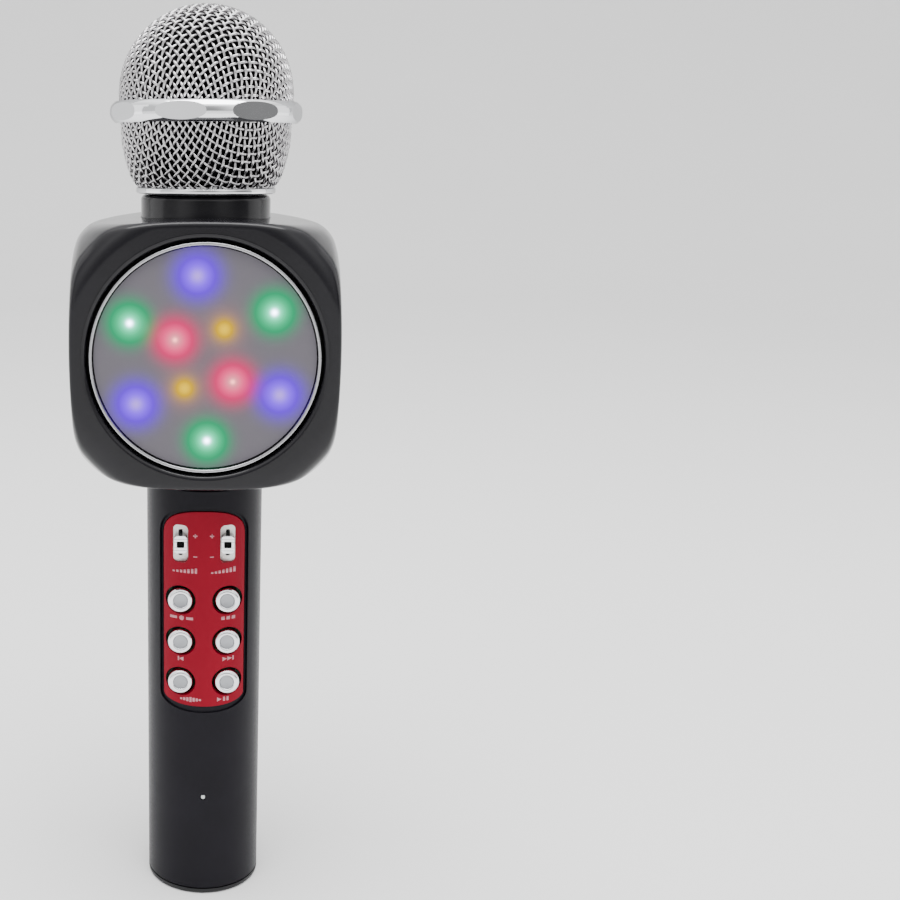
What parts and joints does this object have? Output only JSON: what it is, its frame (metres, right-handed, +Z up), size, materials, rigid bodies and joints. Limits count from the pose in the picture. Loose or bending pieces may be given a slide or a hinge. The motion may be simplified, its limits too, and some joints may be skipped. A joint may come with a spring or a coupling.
{
  "type": "karaoke microphone",
  "caption": "Hand-held karaoke microphone with a woven-wire ball head, a square speaker box with a round light panel, and a round handle with a control panel.",
  "frame": {"origin": "centre of the flat end cap, on the surface the microphone stands on", "axes": "+Z up the handle's axis to the ball head, -Y out of the control panel and light panel, +X to the right seen from the front"},
  "size_m": [0.0742, 0.072, 0.2555],
  "materials": {
    "box_gloss_black": "gloss black moulded plastic",
    "handle_satin_black": "satin charcoal moulded plastic",
    "panel_red": "satin red anodised sheet",
    "chrome_trim": "bright chrome plating",
    "grille_mesh": "woven steel wire, nickel plated",
    "light_panel": "smoked translucent sheet, lit from behind",
    "speaker_mesh": "grey powder-coated perforated sheet",
    "steel_hardware": "plain nickel-plated steel",
    "brass_contact": "tinned brass",
    "board_green": "green solder mask",
    "dark_plastic": "black moulded plastic",
    "acoustic_foam": "open-cell black foam",
    "cone_paper": "pressed black paper pulp",
    "soft_rubber": "matt black rubber",
    "cell_wrap": "blue shrink wrap over a metal can",
    "indicator_lens": "clear light pipe"
  },
  "bodies": {
    "enclosure": {"handle_tube": "handle_satin_black", "control_panel": "panel_red", "button_board": "board_green", "battery_cell": "cell_wrap", "battery_contact": "brass_contact", "port_board": "board_green", "end_cap": "dark_plastic", "charge_port": "steel_hardware", "audio_jack": "dark_plastic", "end_cap_screw_front": "steel_hardware", "end_cap_screw_rear": "steel_hardware", "indicator_lens": "indicator_lens", "front_shell": "box_gloss_black", "rear_shell": "box_gloss_black", "front_trim_ring": "chrome_trim", "rear_trim_ring": "chrome_trim", "front_light_panel": "light_panel", "rear_speaker_grille": "speaker_mesh", "light_board": "board_green", "amplifier_board": "board_green", "speaker_basket": "steel_hardware", "speaker_magnet": "dark_plastic", "speaker_surround": "soft_rubber", "neck_collar": "box_gloss_black", "neck_thread": "brass_contact", "capsule_post": "dark_plastic", "capsule_cradle": "soft_rubber", "microphone_capsule": "steel_hardware", "record_switch": "dark_plastic", "mode_switch": "dark_plastic", "previous_switch": "dark_plastic", "next_switch": "dark_plastic", "power_switch": "dark_plastic", "play_switch": "dark_plastic", "voice_volume_potentiometer": "steel_hardware", "music_volume_potentiometer": "steel_hardware", "shell_screw_upper_left": "steel_hardware", "shell_screw_upper_right": "steel_hardware", "shell_screw_lower_left": "steel_hardware", "shell_screw_lower_right": "steel_hardware"},
    "record_button": {"record_button": "chrome_trim"},
    "mode_button": {"mode_button": "chrome_trim"},
    "previous_button": {"previous_button": "chrome_trim"},
    "next_button": {"next_button": "chrome_trim"},
    "power_button": {"power_button": "chrome_trim"},
    "play_button": {"play_button": "chrome_trim"},
    "voice_volume_slider": {"voice_volume_slider": "chrome_trim"},
    "music_volume_slider": {"music_volume_slider": "chrome_trim"},
    "speaker_diaphragm": {"speaker_cone": "cone_paper", "speaker_dust_cap": "cone_paper", "voice_coil": "brass_contact"},
    "windscreen_thread_ring": {"windscreen_base_ring": "chrome_trim"},
    "windscreen_head": {"windscreen_basket": "grille_mesh", "anti_roll_band": "chrome_trim", "windscreen_dome": "grille_mesh", "windscreen_foam": "acoustic_foam"}
  },
  "joints": [
    {"name": "record_press", "type": "slide", "parent": "enclosure", "child": "record_button", "axis": [0, 1, 0], "range_m": [0, 0.0006], "stiffness_N_per_m": 1500},
    {"name": "mode_press", "type": "slide", "parent": "enclosure", "child": "mode_button", "axis": [0, 1, 0], "range_m": [0, 0.0006], "stiffness_N_per_m": 1500},
    {"name": "previous_press", "type": "slide", "parent": "enclosure", "child": "previous_button", "axis": [0, 1, 0], "range_m": [0, 0.0006], "stiffness_N_per_m": 1500},
    {"name": "next_press", "type": "slide", "parent": "enclosure", "child": "next_button", "axis": [0, 1, 0], "range_m": [0, 0.0006], "stiffness_N_per_m": 1500},
    {"name": "power_press", "type": "slide", "parent": "enclosure", "child": "power_button", "axis": [0, 1, 0], "range_m": [0, 0.0006], "stiffness_N_per_m": 1500},
    {"name": "play_press", "type": "slide", "parent": "enclosure", "child": "play_button", "axis": [0, 1, 0], "range_m": [0, 0.0006], "stiffness_N_per_m": 1500},
    {"name": "voice_volume_slide", "type": "slide", "parent": "enclosure", "child": "voice_volume_slider", "axis": [0, 0, 1], "range_m": [-0.0028, 0.0028]},
    {"name": "music_volume_slide", "type": "slide", "parent": "enclosure", "child": "music_volume_slider", "axis": [0, 0, 1], "range_m": [-0.0028, 0.0028]},
    {"name": "speaker_diaphragm_travel", "type": "slide", "parent": "enclosure", "child": "speaker_diaphragm", "axis": [0, 1, 0], "range_m": [-0.0012, 0.0012], "stiffness_N_per_m": 1200},
    {"name": "windscreen_lift", "type": "slide", "parent": "enclosure", "child": "windscreen_thread_ring", "axis": [0, 0, 1], "range_m": [0, 0.00565]},
    {"name": "windscreen_turn", "type": "hinge", "parent": "windscreen_thread_ring", "child": "windscreen_head", "pos_m": [0, 0, 0.206], "axis": [0, 0, 1], "range_deg": [0, 1350]}
  ],
  "couplings": [
    {"joint": "windscreen_lift", "follows": "windscreen_turn", "m_per_rad": 0.00023873}
  ]
}
